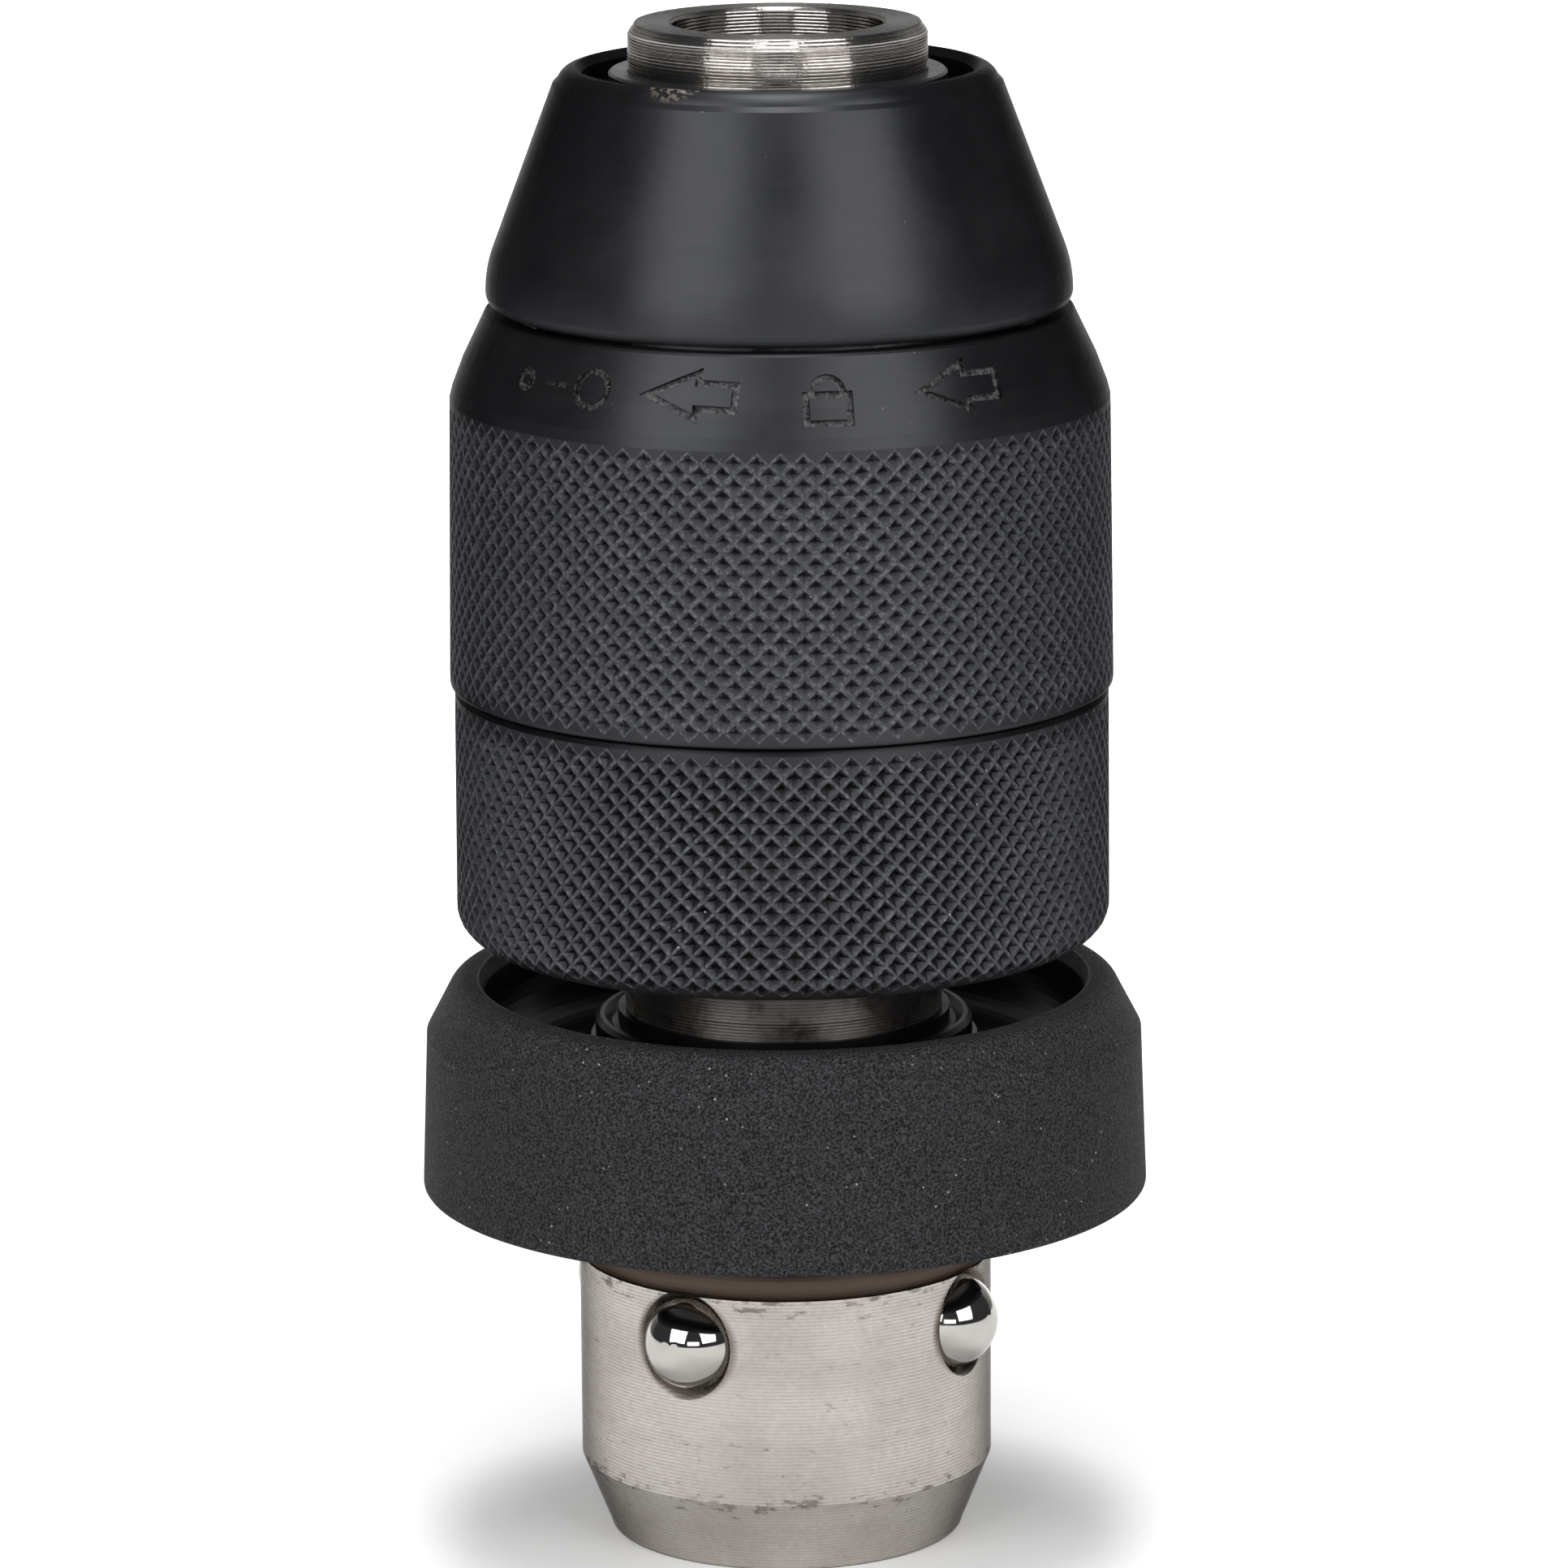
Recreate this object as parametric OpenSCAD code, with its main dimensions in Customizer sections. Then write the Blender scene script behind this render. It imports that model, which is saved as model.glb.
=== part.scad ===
// Keyless drill chuck with two knurled sleeves and a ball-locked quick-change coupling.
// Millimetres, +Z up. It stands on the foot of its coupling tube, nose up, and the
// origin is on the axis in the foot's plane. The front, -Y, is where the arrow marks are.
// Round parts are turned from outlines of [radius, height] points.

/* [Coupling tube] */
// Outside diameter of the coupling tube
tube_d = 27.2; // [27:0.1:27.4]
// Bore of the coupling tube
tube_bore_d = 18.4; // [18.4:0.05:18.5]
// Outside diameter at the tapered foot
foot_d = 23.4; // [22:0.1:24]
// Height of the foot's lead-in taper
lead_in_h = 5; // [4:0.1:6]
// Height of the shoulder that carries the guard collar
tube_shoulder_z = 30; // [29.6:0.1:30.4]

/* [Locking balls] */
// Diameter of each locking ball
ball_d = 6.35; // [6.3:0.01:6.4]
// Height of the ball holes
ball_z = 15.4; // [15:0.1:15.4]
// Turn of the first ball from the front, in degrees
ball_turn = -29.3; // [-45:0.1:45]
// How far each ball sinks when the coupling is released
ball_travel = 1.9; // [1.5:0.1:2]

/* [Release sleeve] */
// How far the release sleeve is pushed in
release_travel = 6.2; // [5.5:0.1:6.2]
// Wire diameter of the release spring
spring_wire_d = 1; // [0.8:0.05:1]
// Number of turns in the release spring
spring_turns = 3; // [2:1:3]

/* [Guard collar] */
// Outside diameter of the guard collar at its chamfer
guard_d = 47; // [46:0.1:48]
// Height of the guard collar's lower edge
guard_bottom_z = 23.4; // [23.4:0.1:24]
// Height of the guard collar's rim
guard_top_z = 37.3; // [37:0.1:37.5]
// Angle of the collar's chamfer from upright, in degrees
guard_chamfer_a = 27.6; // [25:0.2:30]

/* [Holding sleeve] */
// Outside diameter of the holding sleeve
hold_d = 42.76; // [42.4:0.02:43]
// Height of the holding sleeve's closed end
hold_bottom_z = 40.46; // [40:0.02:41]
// Radius of the holding sleeve's lower corner
hold_corner_r = 1.95; // [1:0.05:3]

/* [Clamping sleeve] */
// Outside diameter of the clamping sleeve at its lower edge
grip_low_d = 43.24; // [43:0.02:43.6]
// Outside diameter of the clamping sleeve at the top of its grip
grip_high_d = 42.78; // [42.6:0.02:43]
// Height of the split between the two sleeves
split_z = 56.9; // [56:0.1:57]
// Height of the clamping sleeve's upper edge
grip_top_z = 81.75; // [81.6:0.05:81.8]

/* [Nose] */
// Height of the nose face
face_z = 100.2; // [100:0.1:100.4]
// Outside diameter of the nose
nose_d = 19.3; // [19.2:0.1:19.4]
// Bore of the nose, where the tool's shank enters
nose_bore_d = 13.6; // [13.5:0.1:13.7]
// Largest diameter of the nose cone
cone_d = 37.95; // [37.6:0.05:38.2]
// Number of turned grooves round the nose
nose_grooves = 12; // [6:1:12]

/* [Jaws] */
// Diameter of the rod that each jaw is cut from
jaw_d = 6.5; // [6:0.1:6.5]
// Angle between a jaw's rod and the chuck's axis, in degrees
jaw_tilt = 15.5; // [15:0.1:15.5]
// Smallest shank diameter that the jaws close on
grip_min_d = 1.5; // [1.5:0.1:2]
// Turn of the first jaw from +X, in degrees
jaw_turn = 90; // [0:1:120]

/* [Hidden] */
$fn = 96;

eps = 0.01;
play = 0.1;               // running clearance on a radius
far = 200;                // longer than the whole chuck

// Coupling tube and drive spindle
tube_r = tube_d / 2;
tube_bore_r = tube_bore_d / 2;
foot_edge_r = 0.3;
foot_chamfer = 0.4;
mouth_r = tube_bore_r + 0.5;  // counterbore at the tube's foot
mouth_h = 8;
tube_neck_r = 11.55;      // the tube above its shoulder
tube_top_z = 33.5;
flange_r = 12.4;
flange_h = 1.3;
flange_edge = 0.3;
flange_dish = 0.5;
seat_r = 10.9;            // the raised seat inside the flange
spindle_top_z = 35.3;     // the face that the chuck body seats on
spindle_chamfer = 0.5;
stud_r = 6.25;
stud_top_z = 50.6;
pilot_foot_z = 30;        // foot of the spindle's fit in the tube
spigot_r = 3.6;
spigot_foot_z = mouth_h + 0.3;
key_count = 3;
key_w = 2;
key_r = 4.5;
circlip_z = spigot_foot_z + 0.8;
circlip_h = 0.7;
circlip_groove_r = 3.1;
circlip_r = 5.6;
circlip_gap_w = 2.8;
key_foot_z = circlip_z + circlip_h + 0.5;
pin_count = 3;
pin_r = 1.2;
pin_in_r = 7.5;
pin_z = 31.8;

// Retaining screw
screw_r = 2.95;
screw_hole_r = 3.2;
screw_hole_z = 40;
screw_foot_z = 41.5;
screw_head_r = 4.9;
screw_head_h = 3.4;
screw_socket_r = 2.9;     // to the corners of the hexagon
screw_socket_floor = 1;

// Locking balls: each rests against a lip under the tube's surface
ball_count = 4;
ball_r = ball_d / 2;
ball_play = 0.075;
lip_r = ball_r - ball_play;
lip_depth = 0.57;
ball_hole_r = ball_r + ball_play;
lip_at = tube_r - lip_depth;
lip_flare = 1;            // the hole's countersink, at 45 degrees
ball_at = lip_at - sqrt(ball_r * ball_r - lip_r * lip_r) - 2 * eps;

// Release sleeve: its taper lets a ball sink by ball_travel over release_travel
release_r = tube_bore_r - play;
release_bore_r = 4.8;
release_foot_z = circlip_z + circlip_h + play;
release_top_z = 18.9;
release_taper_z = ball_z + 0.6;
release_slope = ball_travel / release_travel;
release_foot_r = release_r - (release_taper_z - release_foot_z) * release_slope;
spring_r = 6.8;

// Stop ring
stop_foot_z = 18.8;
stop_h = 2.3;
stop_groove_r = 13.1;
stop_r = 14;
stop_round_r = 1.5;

// Guard collar
guard_r = guard_d / 2;
guard_rim_r = 1.15;       // rounding of the rim
guard_rim_z = guard_top_z - guard_rim_r;
guard_lip_r = 19.7;       // mouth of the bowl
guard_lip_w = 0.35;
guard_lip_h = 1;
guard_corner_z = 33.8;    // where the upright wall meets the chamfer
guard_flare = 0.36;       // how far the wall leans out towards the bottom
guard_edge_r = 0.3;
guard_web_z = 29;
guard_floor_z = 31.6;
guard_floor_r = 13.8;     // inner edge of the bowl's floor
guard_bowl_r = 3.4;
guard_skirt_r = 21.4;
guard_skirt_chamfer = 0.8;
guard_seat_r = 12.7;

// Chuck body
hub_r = 10.4;
hub_top_z = hold_bottom_z + 1.5;
socket_r = stud_r + play;
web_z = 51;
throat_z = 54;
nose_bore_r = nose_bore_d / 2;
throat_r = nose_bore_r + 0.5;
land_z = 97.95;           // foot of the plain land inside the nose
land_relief_h = 0.5;
body_r = 17.85;
press_r = 19.88;          // where the holding sleeve is pressed on
press_top_z = 47.2;
shoulder_z = 71.9;        // seat of the thrust bearing
core_r = 14.05;
nut_foot_z = 75.7;
nut_h = 5;
front_z = 80.85;          // the body's flare above the nut
front_r = 15.8;
front_rim_h = 3;
front_top_r = 12.3;
groove_pitch = 0.2;
groove_depth = 0.07;
neck_groove_n = 6;
nose_r = nose_d / 2;
nose_seat_z = 94.2;
nose_groove_z = 97.2;
nose_chamfer_h = 0.55;
nose_chamfer_w = 0.4;
nose_bore_chamfer = 0.2;

// Jaws: each rod's centre line passes jaw_face_r from the axis in the nose face's plane
jaw_count = 3;
jaw_r = jaw_d / 2;
jaw_face_r = 2.7;
jaw_open_r = nose_bore_r + 0.2;
jaw_closed_r = grip_min_d / 2;
jaw_slide = (jaw_open_r - jaw_closed_r) / sin(jaw_tilt);
jaw_proud = 7.8;          // how far the closed jaws stand out of the nose
jaw_tip_z = face_z + jaw_proud - jaw_slide * cos(jaw_tilt);
jaw_tail_z = 54;
jaw_edge_w = 1.2;
jaw_flat_a = 60;          // angle between each gripping flat and the jaw's mid plane
jaw_flat_len = 20;
jaw_hole_tail = 1;        // how far the jaw's hole runs on past its tail
thread_pitch = 2;
thread_depth = 0.5;
thread_half_w = 0.8;
thread_reach = 2;         // how far the thread's cutter stands out past the jaw
thread_foot_z = jaw_tail_z + 5;
thread_end_z = jaw_tip_z - 3;

// Sleeves
hold_r = hold_d / 2;
hold_edge = 0.3;
sleeve_bore_r = 20.1;
sleeve_gap = 0.2;
grip_low_r = grip_low_d / 2;
grip_high_r = grip_high_d / 2;
grip_foot_z = split_z + sleeve_gap;
grip_round_end_z = 76;    // top of the grip's straight wall
band_foot_z = 76.8;
band_foot_r = 21.18;
band_bend_z = 78.6;
band_bend_r = 20.49;
band_top_r = 19.05;
band_edge = 0.15;
band_bore_r = 17.75;      // the sleeve's bore at its upper edge
edge_r = 0.35;

// Marks cut into the clamping sleeve's band, placed by their angle from the front
arrow_angles = [-16.6, 33.6];
lock_angle = 8.5;
range_angle = -44;
mark_depth = 0.4;
mark_cut_h = 1;           // height of each mark's cutter
mark_line_w = 0.45;
arrow_len = 6.5;
arrow_head = 4.1;
arrow_half_w = 1.85;
arrow_stem_w = 2.1;
lock_w = 3.2;
lock_h = 2.3;
lock_drop = 0.8;          // from the band's middle to the middle of the lock's case
shackle_r = 1.2;
shackle_rise = 1.05;      // from the middle of the case to the middle of its shackle
small_shank_r = 0.8;
large_shank_r = 1.4;
shank_gap = 2.9;          // from the dash to each shank
dash_w = 1.6;

// Thrust bearing and nut
race_in_r = 14.25;
race_out_r = 17.7;
race_h = 0.9;
thrust_ball_d = 1.96;
thrust_ball_n = 24;
thrust_ball_at = (race_in_r + race_out_r) / 2;
thrust_z = (shoulder_z + race_h + nut_foot_z - race_h) / 2;
cage_inset = 0.4;
cage_h = 0.8;
nut_r = 16.5;
nut_gap = 0.15;           // between the nut's halves
nut_core_r = 10.9;        // the body's waist inside the nut
nut_band_r = 18.1;
nut_band_h = 4.5;
drive_foot_z = 68.5;
drive_top_z = 77.4;
drive_top_r = 19.35;

// Guide ring, ratchet and pawl springs, in the space between the body and the sleeve
guide_z = 60;
guide_h = 3;
ratchet_z = 64;
ratchet_h = 2.5;
ratchet_wall = 0.5;
tooth_n = 36;
tooth_w = 1.8;
tooth_h = 1;
pawl_z = 64.2;
pawl_h = 2.1;
pawl_thick = 0.4;
pawl_end_a = 60;
pawl_bend_a = 40;         // where each spring starts to bend inwards
pawl_bend = 0.5;
pawl_step_a = 5;

// Nose cone
cone_r = cone_d / 2;
cone_foot_z = 81.95;
cone_wall = 1.25;
cone_shoulder_r = 18.45;  // where the straight flank starts
cone_shoulder_z = 85.75;
cone_rim_r = 14.5;        // where the straight flank ends
cone_rim_z = 96.3;
cone_crest_r = 13.05;
cone_crest_z = 97.4;
cone_crest_round = 1.2;
cone_mouth_r = 12.6;
cone_mouth_drop = 0.5;
cone_hem_r = 1;
cone_hem_wall_h = 2;
cone_flank_a = atan((cone_shoulder_r - cone_rim_r) / (cone_rim_z - cone_shoulder_z));
cone_round_r = (cone_r - cone_shoulder_r) / (1 - cos(cone_flank_a));  // from the hem to the flank
cone_round_z = cone_shoulder_z - cone_round_r * sin(cone_flank_a);
washer_r = 10.9;
washer_bore_r = nose_r + 0.02;
washer_top_z = 97.1;
washer_h = 1.6;
washer_edge = 0.15;

// Points on an arc, from angle a to angle b
function arc(r, z, radius, a, b, n = 8) =
    [for (i = [0 : n]) let (t = a + (b - a) * i / n) [r + radius * cos(t), z + radius * sin(t)]];

// Points of n turned grooves up an upright wall
function turned(r, z, n) = [
    for (i = [0 : n - 1], p = [[0, 0], [0, 0.45], [-groove_depth, 0.7]])
        [r + p[0], z + (i + p[1]) * groove_pitch]
];

// Distance from the axis to a jaw rod's centre line at height z
function jaw_line(z) = jaw_face_r + (face_z - z) * tan(jaw_tilt);

// Distance from the axis to the back of a jaw rod at height z
function jaw_back(z) = jaw_line(z) + jaw_r / cos(jaw_tilt);

// Length of a jaw's rod from the nose face's plane down to height z
function rod_length(z) = (face_z - z) / cos(jaw_tilt);

// Radius of the nose cone's inner wall at height z
function cone_inner(z) = cone_rim_r + (cone_rim_z - z) * tan(cone_flank_a) - cone_wall / cos(cone_flank_a);

module turn(points) {
    rotate_extrude() polygon(points);
}

module ring(r_in, r_out, z, h) {
    translate([0, 0, z]) difference() {
        cylinder(r = r_out, h = h);
        translate([0, 0, -eps]) cylinder(r = r_in, h = h + 2 * eps);
    }
}

// ---- Coupling ----

// Puts its children along +X at ball number i, with X = 0 on the axis
module at_ball(i) {
    rotate([0, 0, -90 + ball_turn + i * 360 / ball_count]) translate([0, 0, ball_z]) children();
}

// The hole for one ball, from the axis outwards: a bore, the lip, and a countersink outside it
module ball_hole() {
    rotate([0, 90, 0]) {
        cylinder(r = ball_hole_r, h = lip_at);
        cylinder(r = lip_r, h = tube_r);
        translate([0, 0, lip_at + 3 * eps])
            cylinder(r1 = lip_r, r2 = lip_r + lip_flare, h = lip_flare);
    }
}

module tube_pin(i) {
    rotate([0, 0, i * 360 / pin_count])
        translate([pin_in_r, 0, pin_z])
            rotate([0, 90, 0])
                cylinder(r = pin_r, h = tube_neck_r - pin_in_r - play / 2);
}

module coupling_tube() color("#b9b3ac") difference() {
    turn(concat(
        [[mouth_r + foot_chamfer, 0]],
        arc(foot_d / 2 - foot_edge_r, foot_edge_r, foot_edge_r, -90, 0, 4),
        [
            [tube_r, lead_in_h],
            [tube_r, stop_foot_z],
            [stop_groove_r, stop_foot_z],
            [stop_groove_r, stop_foot_z + stop_h],
            [tube_r, stop_foot_z + stop_h],
            [tube_r, tube_shoulder_z],
            [tube_neck_r, tube_shoulder_z],
            [tube_neck_r, tube_top_z],
            [tube_bore_r, tube_top_z],
            [tube_bore_r, mouth_h],
            [mouth_r, mouth_h],
            [mouth_r, foot_chamfer]
        ]
    ));
    for (i = [0 : ball_count - 1]) at_ball(i) ball_hole();
    for (i = [0 : pin_count - 1]) tube_pin(i);
}

module stop_ring() color("#6b5548") turn(concat(
    [[stop_groove_r, stop_foot_z + stop_h], [stop_groove_r, stop_foot_z]],
    arc(stop_r - stop_round_r, stop_foot_z + stop_h / 2, stop_round_r, -45, 45)
));

module tube_pins() color("#8e8a86") for (i = [0 : pin_count - 1]) tube_pin(i);

module drive_spindle() color("#4a4644") difference() {
    union() {
        turn([
            [0, spigot_foot_z],
            [spigot_r - spindle_chamfer, spigot_foot_z],
            [spigot_r, spigot_foot_z + spindle_chamfer],
            [spigot_r, circlip_z],
            [circlip_groove_r, circlip_z],
            [circlip_groove_r, circlip_z + circlip_h],
            [spigot_r, circlip_z + circlip_h],
            [spigot_r, pilot_foot_z],
            [tube_bore_r, pilot_foot_z],
            [tube_bore_r, tube_top_z],
            [flange_r, tube_top_z],
            [flange_r, tube_top_z + flange_h - flange_edge],
            [flange_r - flange_edge, tube_top_z + flange_h],
            [flange_r - 2 * flange_edge, tube_top_z + flange_h],
            [flange_r - 2 * flange_edge - flange_dish, tube_top_z + flange_h - flange_dish],
            [seat_r, tube_top_z + flange_h - flange_dish],
            [seat_r, spindle_top_z],
            [stud_r, spindle_top_z],
            [stud_r, stud_top_z - spindle_chamfer],
            [stud_r - spindle_chamfer, stud_top_z],
            [0, stud_top_z]
        ]);
        for (i = [0 : key_count - 1])
            rotate([0, 0, i * 360 / key_count])
                translate([0, -key_w / 2, key_foot_z])
                    cube([key_r, key_w, pilot_foot_z - key_foot_z + eps]);
    }
    translate([0, 0, screw_hole_z]) cylinder(r = screw_r, h = far);
    for (i = [0 : pin_count - 1]) tube_pin(i);
}

module spigot_circlip() color("#3c3c3e") difference() {
    ring(circlip_groove_r, circlip_r, circlip_z, circlip_h);
    translate([0, -circlip_gap_w / 2, circlip_z - eps]) cube([far, circlip_gap_w, circlip_h + 2 * eps]);
}

module release_sleeve() color("#8a8580") turn([
    [release_bore_r, release_foot_z],
    [release_foot_r, release_foot_z],
    [release_r, release_taper_z],
    [release_r, release_top_z],
    [release_bore_r, release_top_z]
]);

// A round-wire coil spring between two flat seats, closed at both ends
module coil_spring(radius, wire_d, foot, top, turns) {
    sides = 8;
    per_turn = 24;
    steps = per_turn * (turns + 1);
    wire_r = wire_d / 2;
    // Height of the wire's centre: half a dead turn at each end, and an even rise between
    function rise(i) =
        let (t = (i / per_turn - 0.5) / turns, u = min(max(t, 0), 1))
        foot + wire_r + eps + u * (top - foot - wire_d - 2 * eps);
    points = [
        for (i = [0 : steps], j = [0 : sides - 1])
            let (a = i * 360 / per_turn, b = j * 360 / sides, r = radius + wire_r * cos(b))
            [r * cos(a), r * sin(a), rise(i) + wire_r * sin(b)]
    ];
    walls = [
        for (i = [0 : steps - 1], j = [0 : sides - 1])
            let (k = (j + 1) % sides, a = i * sides, b = a + sides)
            [a + j, a + k, b + k, b + j]
    ];
    first_cap = [for (j = [sides - 1 : -1 : 0]) j];
    last_cap = [for (j = [0 : sides - 1]) steps * sides + j];
    polyhedron(points, concat(walls, [first_cap, last_cap]), convexity = 10);
}

module release_spring() color("#9a9a9c")
    coil_spring(spring_r, spring_wire_d, release_top_z, pilot_foot_z, spring_turns);

module lock_ball(i) color("#d8d8da") at_ball(i) translate([ball_at, 0, 0]) sphere(r = ball_r);

module guard_collar() color("#1c1d20") {
    flank_h = guard_rim_z + guard_rim_r * sin(guard_chamfer_a) - guard_corner_z;
    rim_at = guard_r - flank_h * tan(guard_chamfer_a) - guard_rim_r * cos(guard_chamfer_a);
    turn(concat(
        [[guard_lip_r, guard_top_z - guard_lip_h], [guard_lip_r + guard_lip_w, guard_top_z]],
        arc(rim_at, guard_rim_z, guard_rim_r, 90, guard_chamfer_a, 10),
        [[guard_r, guard_corner_z]],
        arc(guard_r + guard_flare - guard_edge_r, guard_bottom_z + guard_edge_r, guard_edge_r, 0, -90, 4),
        [
            [guard_skirt_r + guard_skirt_chamfer, guard_bottom_z],
            [guard_skirt_r, guard_bottom_z + guard_skirt_chamfer],
            [guard_skirt_r, guard_web_z],
            [tube_r + play, guard_web_z],
            [tube_r + play, tube_shoulder_z],
            [tube_neck_r + play, tube_shoulder_z],
            [tube_neck_r + play, tube_top_z - play],
            [guard_seat_r, tube_top_z - play],
            [guard_floor_r, guard_floor_z]
        ],
        arc(guard_lip_r - guard_bowl_r, guard_floor_z + guard_bowl_r, guard_bowl_r, -90, -8, 10)
    ));
}

// ---- Chuck ----

// Puts its children on jaw number i's rod, with +Z down the rod from the nose face's plane
module on_jaw(i) {
    rotate([0, 0, jaw_turn + i * 360 / jaw_count])
        translate([jaw_face_r, 0, face_z])
            rotate([0, 180 - jaw_tilt, 0])
                children();
}

module chuck_body() color("#a8a29b") difference() {
    turn(concat(
        [[socket_r, spindle_top_z]],
        turned(hub_r, spindle_top_z, neck_groove_n),
        [
            [hub_r, spindle_top_z + neck_groove_n * groove_pitch],
            [hub_r, hub_top_z],
            [press_r, hub_top_z],
            [press_r, press_top_z],
            [body_r, press_top_z],
            [body_r, shoulder_z],
            [core_r, shoulder_z],
            [core_r, nut_foot_z - play],
            [nut_core_r, nut_foot_z - play],
            [nut_core_r, front_z],
            [front_r, front_z],
            [front_r, front_z + front_rim_h],
            [front_top_r, nose_seat_z],
            [nose_r, nose_seat_z]
        ],
        turned(nose_r, nose_groove_z, nose_grooves),
        [
            [nose_r - groove_depth, nose_groove_z + nose_grooves * groove_pitch],
            [nose_r - groove_depth, face_z - nose_chamfer_h],
            [nose_r - groove_depth - nose_chamfer_w, face_z],
            [nose_bore_r + nose_bore_chamfer, face_z],
            [nose_bore_r, face_z - nose_bore_chamfer],
            [nose_bore_r, land_z],
            [throat_r, land_z - land_relief_h],
            [throat_r, throat_z],
            [screw_hole_r, throat_z],
            [screw_hole_r, web_z],
            [socket_r, web_z]
        ]
    ));
    for (i = [0 : jaw_count - 1])
        on_jaw(i) cylinder(r = jaw_r + play, h = rod_length(jaw_tail_z - jaw_hole_tail));
}

module retaining_screw() color("#2f2f31") difference() {
    union() {
        translate([0, 0, throat_z]) cylinder(r = screw_head_r, h = screw_head_h);
        translate([0, 0, screw_foot_z]) cylinder(r = screw_r, h = throat_z - screw_foot_z + eps);
    }
    translate([0, 0, throat_z + screw_socket_floor])
        cylinder(r = screw_socket_r, h = screw_head_h, $fn = 6);
}

module holding_sleeve() color("#26272a") turn(concat(
    [[hub_r + play, hub_top_z], [hub_r + play, hold_bottom_z]],
    arc(hold_r - hold_corner_r, hold_bottom_z + hold_corner_r, hold_corner_r, -90, 0, 10),
    [
        [hold_r, split_z - hold_edge],
        [hold_r - hold_edge, split_z],
        [press_r, split_z],
        [press_r, hub_top_z]
    ]
));

module guide_ring() color("#3a3a3c") ring(body_r, sleeve_bore_r - play, guide_z, guide_h);

module ratchet_tooth() linear_extrude(ratchet_h) polygon([
    [body_r + eps, -tooth_w / 2],
    [body_r + tooth_h, -tooth_w / 2],
    [body_r + ratchet_wall - eps, tooth_w / 2],
    [body_r + eps, tooth_w / 2]
]);

module ratchet_ring() color("#77736e") {
    ring(body_r, body_r + ratchet_wall, ratchet_z, ratchet_h);
    for (i = [0 : tooth_n - 1])
        rotate([0, 0, i * 360 / tooth_n]) translate([0, 0, ratchet_z]) ratchet_tooth();
}

// A point on a pawl spring at angle a, inset from the sleeve's bore
function pawl_point(a, inset) =
    let (bend = pawl_bend * max(0, a - pawl_bend_a) / (pawl_end_a - pawl_bend_a))
    (sleeve_bore_r - inset - bend) * [cos(a), sin(a)];

// Two leaf springs inside the clamping sleeve, lifted clear of the ratchet teeth
module pawl_springs() color("#8d8d90") for (side = [0, 180])
    rotate([0, 0, side])
        translate([0, 0, pawl_z])
            linear_extrude(pawl_h)
                polygon(concat(
                    [for (a = [0 : pawl_step_a : pawl_end_a]) pawl_point(a, 0)],
                    [for (a = [pawl_end_a : -pawl_step_a : 0]) pawl_point(a, pawl_thick)]
                ));

module rear_race() color("#9c9890") ring(race_in_r, race_out_r, shoulder_z, race_h);

module front_race() color("#9c9890") ring(race_in_r, race_out_r, nut_foot_z - race_h, race_h);

module at_thrust_balls() {
    for (i = [0 : thrust_ball_n - 1])
        rotate([0, 0, i * 360 / thrust_ball_n]) translate([thrust_ball_at, 0, thrust_z]) children();
}

module thrust_balls() color("#cfcfd2") at_thrust_balls() sphere(d = thrust_ball_d);

module ball_cage() color("#a98b4a") difference() {
    ring(race_in_r + cage_inset, race_out_r - cage_inset, thrust_z - cage_h / 2, cage_h);
    at_thrust_balls() cylinder(d = thrust_ball_d + play, h = 2 * cage_h, center = true);
}

// The nut's outline: an outer wall, and threads cut in a taper that follows the backs of the jaws
module nut_ring() {
    threads = floor(nut_h / thread_pitch * 2);
    step = nut_h / threads;
    turn(concat(
        [[nut_r, nut_foot_z], [nut_r, nut_foot_z + nut_h]],
        [
            for (i = [threads : -1 : 1], p = [0, 0.5])
                let (z = nut_foot_z + (i - p) * step)
                [jaw_back(z) + play + (p > 0 ? thread_depth : 0), z]
        ],
        [[jaw_back(nut_foot_z) + play, nut_foot_z]]
    ));
}

module nut_half(side) difference() {
    nut_ring();
    translate([side > 0 ? -far : -nut_gap, -far / 2, 0]) cube([far + nut_gap, far, far]);
}

module nut_half_left() color("#7f7a74") nut_half(-1);

module nut_half_right() color("#7f7a74") nut_half(1);

module nut_band() color("#6c6864") ring(nut_r, nut_band_r, nut_foot_z + play / 2, nut_band_h);

module drive_ring() color("#55524e") turn([
    [nut_band_r, drive_foot_z],
    [sleeve_bore_r, drive_foot_z],
    [sleeve_bore_r, nut_foot_z - play],
    [drive_top_r, drive_top_z],
    [nut_band_r, drive_top_z]
]);

// Outline of a direction arrow, shrunk by inset all round
function arrow(inset) =
    let (
        slope = arrow_half_w / arrow_head,
        tip = inset / sin(atan(slope)),
        neck = arrow_head - inset,
        tail = arrow_len - inset,
        stem = arrow_stem_w / 2 - inset,
        barb = (neck - tip) * slope
    )
    [[tip, 0], [neck, barb], [neck, stem], [tail, stem], [tail, -stem], [neck, -stem], [neck, -barb]];

module arrow_mark() translate([-arrow_len / 2, 0]) difference() {
    polygon(arrow(0));
    polygon(arrow(mark_line_w));
}

module ring_mark(r) difference() {
    circle(r);
    circle(r - mark_line_w);
}

// A closed padlock
module lock_mark() translate([0, -lock_drop]) {
    difference() {
        square([lock_w, lock_h], center = true);
        square([lock_w - 2 * mark_line_w, lock_h - 2 * mark_line_w], center = true);
    }
    translate([0, shackle_rise]) intersection() {
        ring_mark(shackle_r);
        translate([-shackle_r, 0]) square(2 * shackle_r);
    }
}

// A small shank, a dash and a large shank
module range_mark() {
    translate([-shank_gap, 0]) ring_mark(small_shank_r);
    square([dash_w, mark_line_w], center = true);
    translate([shank_gap, 0]) ring_mark(large_shank_r);
}

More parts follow.
